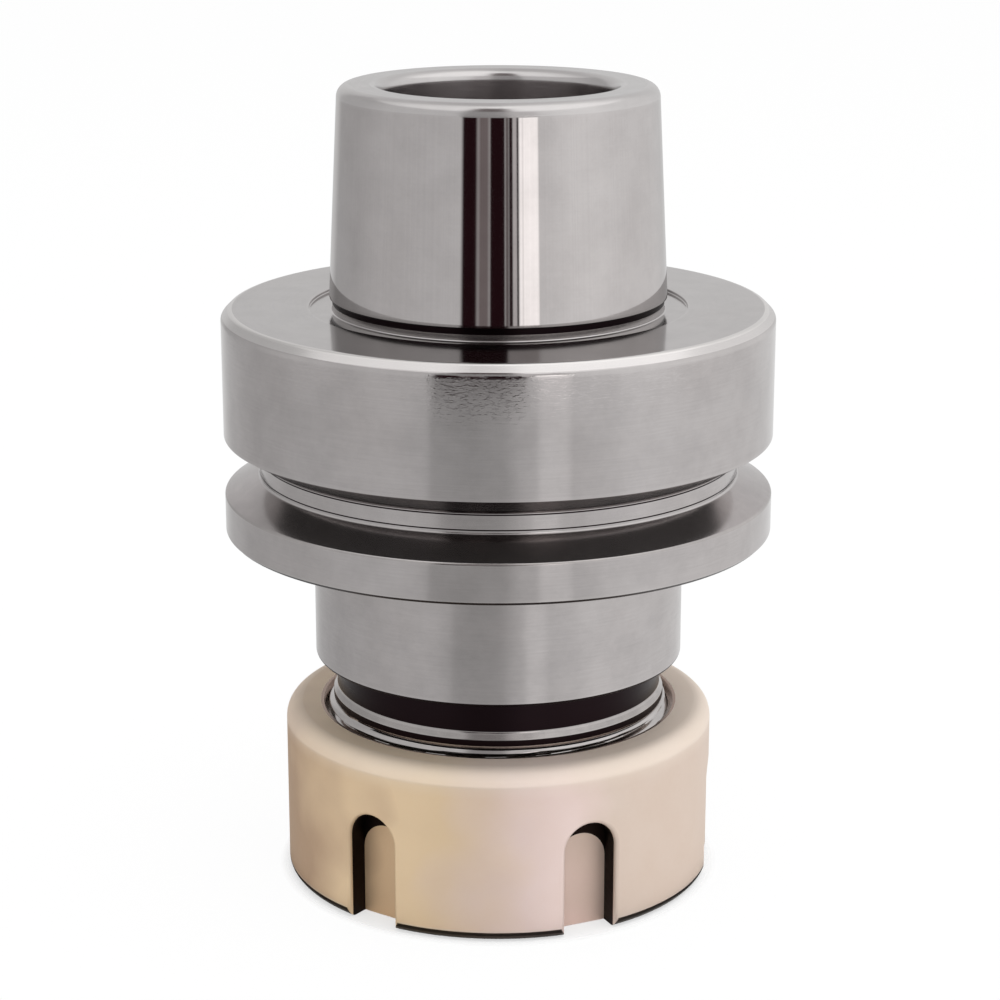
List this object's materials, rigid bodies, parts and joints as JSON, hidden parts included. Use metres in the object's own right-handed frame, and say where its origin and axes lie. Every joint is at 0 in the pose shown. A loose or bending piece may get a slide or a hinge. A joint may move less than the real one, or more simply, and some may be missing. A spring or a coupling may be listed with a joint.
{
  "type": "collet chuck holder",
  "caption": "Collet chuck tool holder with a short hollow-taper shank, a grooved flange, a spring collet and a screwed clamping nut.",
  "frame": {"origin": "centre of the flange face that meets the spindle", "axes": "+Z along the axis, from the clamping nut towards the shank"},
  "size_m": [0.063, 0.063, 0.0925],
  "materials": {
    "ground_steel": "hardened steel, taper ground to a mirror, flange and neck finely turned",
    "coated_steel": "steel with a satin champagne coating",
    "spring_steel": "ground spring steel",
    "blackened_steel": "black oxide"
  },
  "bodies": {
    "holder": {"holder_body": "ground_steel"},
    "collet": {"collet": "spring_steel"},
    "nut": {"clamping_nut": "coated_steel"},
    "stop_screw": {"stop_screw": "blackened_steel"}
  },
  "joints": [
    {"name": "collet_slide", "type": "slide", "parent": "holder", "child": "collet", "axis": [0, 0, -1], "range_m": [0, 0.009]},
    {"name": "nut_turn", "type": "hinge", "parent": "collet", "child": "nut", "pos_m": [0, 0, -0.0573], "axis": [0, 0, -1], "range_deg": [0, 2160]},
    {"name": "stop_screw_travel", "type": "slide", "parent": "holder", "child": "stop_screw", "axis": [0, 0, -1], "range_m": [-0.001, 0.008]}
  ],
  "couplings": [
    {"joint": "collet_slide", "follows": "nut_turn", "m_per_rad": 0.00023873}
  ]
}
